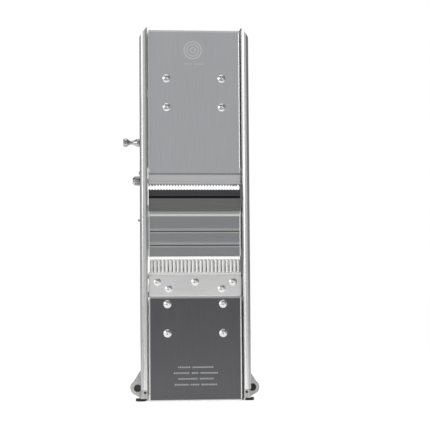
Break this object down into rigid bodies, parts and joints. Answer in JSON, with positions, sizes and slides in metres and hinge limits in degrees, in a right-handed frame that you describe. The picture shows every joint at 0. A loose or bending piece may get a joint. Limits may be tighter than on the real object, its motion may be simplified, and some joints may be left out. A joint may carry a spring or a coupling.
{
  "type": "mandoline slicer",
  "caption": "Upright steel slicer frame with two facing ramps, a serrated blade, a straight blade, a julienne comb, side lever and folding rear leg",
  "frame": {"origin": "foot end of the slicer: midway between the rails, at mid depth of the rails, on the plane it stands on", "axes": "X across the runway, -Y the way the runway faces, +Z along the rails to the upper end"},
  "size_m": [0.1448, 0.045, 0.4],
  "materials": {
    "frame_steel": "satin folded sheet",
    "ramp_steel": "brushed along the runway",
    "dark_steel": "brushed, seen darker by its angle",
    "blade_steel": "ground",
    "satin_steel": "blasted satin",
    "bright_steel": "turned and polished",
    "cast_alloy": "tumbled casting",
    "black_rubber": "matt"
  },
  "bodies": {
    "frame": {"left_rail": "frame_steel", "right_rail": "frame_steel", "top_tie": "frame_steel", "bottom_tie": "frame_steel", "tie_screws": "bright_steel", "left_cast_foot": "cast_alloy", "right_cast_foot": "cast_alloy", "foot_plugs": "black_rubber", "foot_screws": "bright_steel", "foot_pads": "black_rubber", "centre_plate": "ramp_steel", "blade_carrier": "frame_steel", "carrier_screws": "bright_steel", "serrated_blade": "blade_steel", "straight_blade": "satin_steel", "blade_screws": "bright_steel", "stop_pin": "bright_steel", "upper_axle": "frame_steel", "lower_axle": "frame_steel", "leg_hinge_pins": "bright_steel"},
    "upper_ramp": {"upper_ramp_plate": "ramp_steel", "upper_ramp_lip": "satin_steel", "upper_ramp_bracket": "frame_steel", "upper_ramp_rivets": "bright_steel"},
    "upper_lever": {"upper_cam_shaft": "bright_steel", "upper_lever_arm": "frame_steel", "upper_lever_knob": "bright_steel", "upper_lever_rivet": "bright_steel"},
    "lock_nut": {"upper_lock_nut": "bright_steel"},
    "lower_ramp": {"lower_ramp_plate": "dark_steel", "lower_finger_plate": "ramp_steel", "lower_lip_plate": "satin_steel", "lower_ramp_bracket": "frame_steel", "lower_ramp_rivets": "bright_steel", "lower_lip_rivets": "bright_steel"},
    "lower_lever": {"lower_cam_shaft": "bright_steel", "lower_lever_arm": "frame_steel", "lower_lever_knob": "bright_steel"},
    "comb": {"comb_bar": "ramp_steel", "comb_blades": "satin_steel", "comb_shaft": "frame_steel", "comb_lever": "frame_steel"},
    "leg": {"leg_left_arm": "frame_steel", "leg_right_arm": "frame_steel", "leg_crossbar": "frame_steel", "leg_pads": "black_rubber"}
  },
  "joints": [
    {"name": "upper_ramp_tilt", "type": "hinge", "parent": "frame", "child": "upper_ramp", "pos_m": [0, 0.003, 0.33], "axis": [1, 0, 0], "range_deg": [0, 3.5]},
    {"name": "upper_lever_turn", "type": "hinge", "parent": "frame", "child": "upper_lever", "pos_m": [0, 0.009, 0.236], "axis": [-1, 0, 0], "range_deg": [0, 80]},
    {"name": "lock_nut_turn", "type": "hinge", "parent": "upper_lever", "child": "lock_nut", "pos_m": [-0.0618, 0.009, 0.236], "axis": [1, 0, 0], "range_deg": [0, 180]},
    {"name": "lower_ramp_tilt", "type": "hinge", "parent": "frame", "child": "lower_ramp", "pos_m": [0, 0.003, 0.0875], "axis": [-1, 0, 0], "range_deg": [0, 3.5]},
    {"name": "lower_lever_turn", "type": "hinge", "parent": "frame", "child": "lower_lever", "pos_m": [0, 0.009, 0.1135], "axis": [1, 0, 0], "range_deg": [0, 80]},
    {"name": "comb_turn", "type": "hinge", "parent": "frame", "child": "comb", "pos_m": [0, 0.0065, 0.133], "axis": [1, 0, 0], "range_deg": [0, 12]},
    {"name": "leg_fold", "type": "hinge", "parent": "frame", "child": "leg", "pos_m": [0, 0.023, 0.193], "axis": [1, 0, 0], "range_deg": [0, 95]}
  ],
  "couplings": [
    {"joint": "upper_ramp_tilt", "follows": "upper_lever_turn", "ratio": 0.04375},
    {"joint": "lower_ramp_tilt", "follows": "lower_lever_turn", "ratio": 0.04375}
  ]
}
